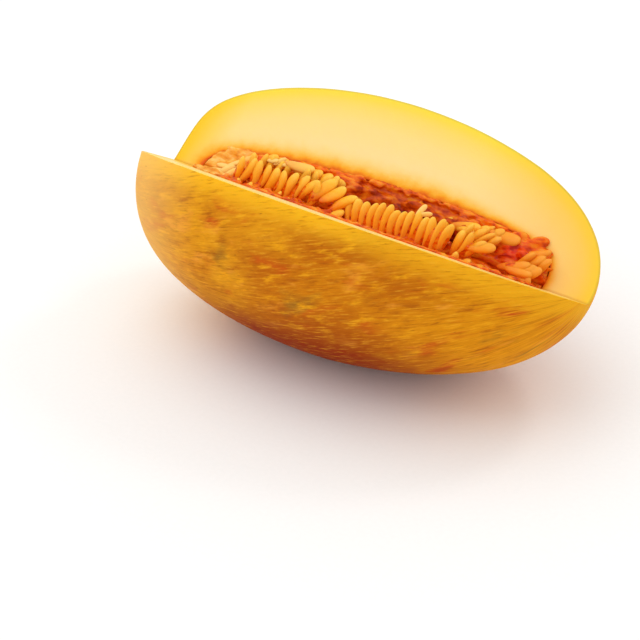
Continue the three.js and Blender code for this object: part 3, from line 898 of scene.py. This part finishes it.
# %% Seeds of each lobe
for side, name, node in ((FRONT, "front", "seed_lobe_front"), (REAR, "rear", "seed_lobe_rear")):
    numbers = seeded(71 + side)
    points, faces, along, tones, pales = [], [], [], [], []
    for matrix, middle, scale, pale in lobe_seeds[side]:
        size = scale * (0.92 + 0.28 * np.array([next(numbers), next(numbers), next(numbers)]))
        bend = 0.02 * (2 * next(numbers) - 1)
        seed = seed_points * size
        seed[:, 0] += bend * seed[:, 2] ** 2
        placed = press_in(seed @ matrix.T + middle, 0.3)
        faces += [tuple(i + len(points) * len(seed_points) for i in face) for face in seed_faces]
        points.append(placed + CORE)
        along.append(seed_along)
        tones.append(np.full(len(seed_points), next(numbers)))
        pales.append(np.full(len(seed_points), pale))
    seeds = make_object("seeds_" + name, np.concatenate(points), faces, wet_seed)
    keep_value(seeds.data, "along", np.concatenate(along))
    keep_value(seeds.data, "tone", np.concatenate(tones))
    keep_value(seeds.data, "pale", np.concatenate(pales))
    seeds_x = np.concatenate(points)[:, 0] - CORE[0]
    keep_value(seeds.data, "red", 0.5 * step(50, 84, seeds_x))
    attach(seeds, "root")
    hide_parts(node)
    print(seeds.name, len(faces), "faces")

# %% [markdown]
# ## Pulp
#
# The pulp is a wet tissue that fills the cavity up to the cut and creeps up between the seeds. In
# the rear lobe it tore out with the wedge and left a hollow. Pulp that lies deep under the cut and
# in that hollow is painted a darker red, partly its own deeper colour and partly painted shade.
# Rough parts are put into one heap: a filling whose section follows the wall, the cut and the
# cleft, and a swollen copy of each seed's lower part. A voxel remesh then wraps the heap in one
# skin, and smoothing melts it, much as the tissue itself flows.

# %% Filling of each lobe
PULP_VOXEL = 0.7
PULP_RINGS = 130
WALL_POINTS = 26
TOP_POINTS = 22
TROUGHS = [
    dict(x=16, y=11, length=34, width=7, depth=9),
    dict(x=78, y=-4, length=9, width=6, depth=8),
]


def pulp_top(x, y):
    """Height of the pulp over the core, just under the cut"""
    sunk = 0.7 - 1.3 * step(-72, -88, x)
    for one in TROUGHS:
        across = ((y - one["y"]) / one["width"]) ** 2
        sunk = sunk + one["depth"] * np.exp(-((x - one["x"]) / one["length"]) ** 4 - across)
    return cut_height(x, y) - sunk


def pulp_filling(side):
    """Rings of the filling: up the cavity's wall, back over the top and down the cleft"""
    c = -np.cos(np.linspace(0, np.pi, PULP_RINGS + 2)[1:-1])
    rings = []
    for x, wall in zip(CAVITY_MIDDLE + c * (CAVITY_LENGTH / 2 - GAP), cavity_radius(c) - GAP):
        cleft = min(CLEFT_OFFSET + side * GAP / 2, 0.9 * wall)
        low = math.asin(cleft / wall)
        rim = math.radians(180)
        while wall * math.cos(rim) < pulp_top(x, side * wall * math.sin(rim)) and rim > 0.3:
            rim -= 0.01
        arc = np.linspace(math.pi - side * low, rim, WALL_POINTS)
        wall_y, wall_z = side * wall * np.sin(arc), wall * np.cos(arc)
        top_y = np.linspace(wall_y[-1], cleft, TOP_POINTS)[1:]
        top_z = np.minimum(pulp_top(x, top_y), np.sqrt(np.maximum(wall**2 - top_y**2, 0)))
        top_z = np.maximum(top_z, -wall * 0.9)
        y = np.concatenate([wall_y, top_y])
        z = np.concatenate([wall_z, top_z])
        rings.append(np.stack([np.full(len(y), x), y, z], axis=1))
    rings = np.array(rings)
    return rings if side < 0 else rings[:, ::-1]


# Banks that the seeds' feet are sunk in: middle, over the cut's edge, and half sizes in mm
BANKS = {
    FRONT: [
        dict(x=-53, y=-6, over=1, half=(35, 5.5, 6.5)),
        dict(x=22, y=-7.5, over=1, half=(40, 5, 6)),
        dict(x=60, y=-4.5, over=1, half=(17, 5.5, 8)),
        dict(x=91, y=-4, over=0, half=(11, 5.5, 6.5)),
    ],
    REAR: [
        dict(x=-54, y=7, over=1, half=(35, 5, 6.5)),
        dict(x=60, y=6, over=1, half=(18, 5.5, 7.5)),
        dict(x=91, y=7, over=0, half=(11, 6, 7)),
    ],
}
# The banks sit this much lower than in the solids, so that the seeds show down to their feet.
BANK_SUNK = 2.2
egg = seed_points / (SEED_THICKNESS / 2, SEED_WIDTH / 2, SEED_LENGTH / 2)


def pulp_bank(bank):
    middle = (bank["x"], bank["y"], cut_height(bank["x"], 0) + bank["over"] - BANK_SUNK)
    return (egg @ turn_about("y", 90).T) * bank["half"] + middle


# Torn lumps of pulp: where along and across the cavity, how many, and how large in mm
LUMPS = {
    FRONT: [
        dict(x=(70, 92), y=(-12, 1), count=12, size=(2.0, 3.6)),
        dict(x=(-80, -16), y=(-15, -7), count=26, size=(1.2, 2.2)),
        dict(x=(-16, 56), y=(-16, -9), count=14, size=(1.0, 1.8)),
        dict(x=(-102, -80), y=(-10, 1), count=30, size=(1.0, 2.2)),
    ],
    REAR: [
        dict(x=(-24, 56), y=(5, 19), count=46, size=(1.8, 4.0)),
        dict(x=(70, 94), y=(4, 17), count=26, size=(2.0, 4.4)),
        dict(x=(-98, -76), y=(3, 15), count=30, size=(1.0, 2.2)),
    ],
}
LUMP_SHAPE = (1.2, 0.9, 2.5)
# Fibres along the cavity's edge: how many in each lobe, from where to where, and how thick in mm
FIBRES = 190
FIBRE_REACH = (-108, 100)
FIBRE_SIZES = (0.6, 1.3)
FIBRE_SHAPE = (1.0, 1.2, 3.2)


def torn_lumps(side, numbers):
    """Small drawn-out lumps that lie half sunk in the filling, along the core"""
    lumps = []
    for patch in LUMPS[side]:
        for _ in range(patch["count"]):
            x = np.interp(next(numbers), (0, 1), patch["x"])
            y = np.interp(next(numbers), (0, 1), patch["y"])
            size = np.interp(next(numbers), (0, 1), patch["size"])
            matrix = turn_about("z", 50 * next(numbers) - 25)
            matrix = matrix @ turn_about("y", 60 + 50 * next(numbers))
            middle = (x, y, pulp_top(x, y) + 0.1 * size)
            lumps.append((egg * LUMP_SHAPE * size) @ matrix.T + middle)
    return lumps


def edge_fibres(side, numbers):
    """Fine torn fibres that lie along the cavity's edge and cover the seam with the flesh"""
    fibres = []
    for _ in range(FIBRES):
        x = np.interp(next(numbers), (0, 1), FIBRE_REACH)
        wall = cavity_radius((x - CAVITY_MIDDLE) / (CAVITY_LENGTH / 2))
        out = np.linspace(0, wall, 200) * side
        y = out[np.hypot(out, cut_height(x, out)) < wall][-1] - side * 1.6 * next(numbers)
        size = np.interp(next(numbers), (0, 1), FIBRE_SIZES)
        matrix = turn_about("z", 70 * next(numbers) - 35)
        matrix = matrix @ turn_about("y", 80 + 20 * next(numbers))
        fibres.append((egg * FIBRE_SHAPE * size) @ matrix.T + (x, y, cut_height(x, y) + 0.2))
    return fibres


# %% Both lobes of pulp
# Each seed's lower part, in shares of the seed: thicker than a standing one, inside a lying one
ROOT_STANDING = (1.12, 0.88, 0.84)
ROOT_LOOSE = (0.8, 0.8, 0.8)
for side, name, node in ((FRONT, "front", "seed_lobe_front"), (REAR, "rear", "seed_lobe_rear")):
    rings = pulp_filling(side)
    flat = rings.reshape(-1, 3)
    flat += 1.1 * waves(flat, (7, 5, 5), 3.0 * side)[:, None] * (0, 0.6, 1)
    points, faces = [ring_points(rings)], ring_faces(*rings.shape[:2])
    count = len(points[0])
    standing = len(lobe_seeds[side]) - len(LOOSE[side])
    for number, (matrix, middle, scale, pale) in enumerate(lobe_seeds[side]):
        girth = ROOT_STANDING if number < standing else ROOT_LOOSE
        root = scale * (seed_points * girth - (0, 0, 0.1 * SEED_LENGTH))
        points.append(root @ matrix.T + middle)
        faces += [tuple(i + count for i in face) for face in seed_faces]
        count += len(seed_points)
    banks = [pulp_bank(bank) for bank in BANKS[side]]
    numbers = seeded(5 + side)
    for lump in banks + torn_lumps(side, numbers) + edge_fibres(side, numbers):
        points.append(lump)
        faces += [tuple(i + count for i in face) for face in seed_faces]
        count += len(seed_points)
    heap = press_in(np.concatenate(points), 0.1)
    near = (CLEFT_OFFSET + side * GAP / 2 - heap[:, 1]) * side
    heap[:, 1] += np.maximum(near, 0) * side * (heap[:, 2] < 0)
    pulp = make_object("pulp_" + name, heap + CORE, faces, seed_pulp)
    wrap = pulp.modifiers.new("wrap", "REMESH")
    wrap.mode = "VOXEL"
    wrap.voxel_size = PULP_VOXEL * MM
    wrap.use_smooth_shade = True
    melt = pulp.modifiers.new("melt", "SMOOTH")
    melt.iterations = 3
    with_modifiers(pulp)
    places = points_of(pulp.data) - CORE
    x, y, z = places.T
    # Painted shade in recesses: pulp deep under the cut, and in the rear torn hollow, is marked for the
    # darker ramp.
    sunk = step(1.6, 8.0, cut_height(x, y) - z)
    trough = TROUGHS[0]
    torn = np.exp(-((x - trough["x"]) / 37) ** 4 - ((y - trough["y"]) / 8) ** 2)
    keep_value(pulp.data, "deep_red_and_painted_shade", np.clip(sunk + 0.7 * torn, 0, 1))
    keep_value(pulp.data, "gel", 0.9 * np.exp(-((x - 80) / 10) ** 2 - ((y - 8) / 7) ** 2))
    keep_value(pulp.data, "pale", step(-80, -90, x))
    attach(pulp, "root")
    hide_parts(node)
    print(pulp.name, len(pulp.data.polygons), "faces")
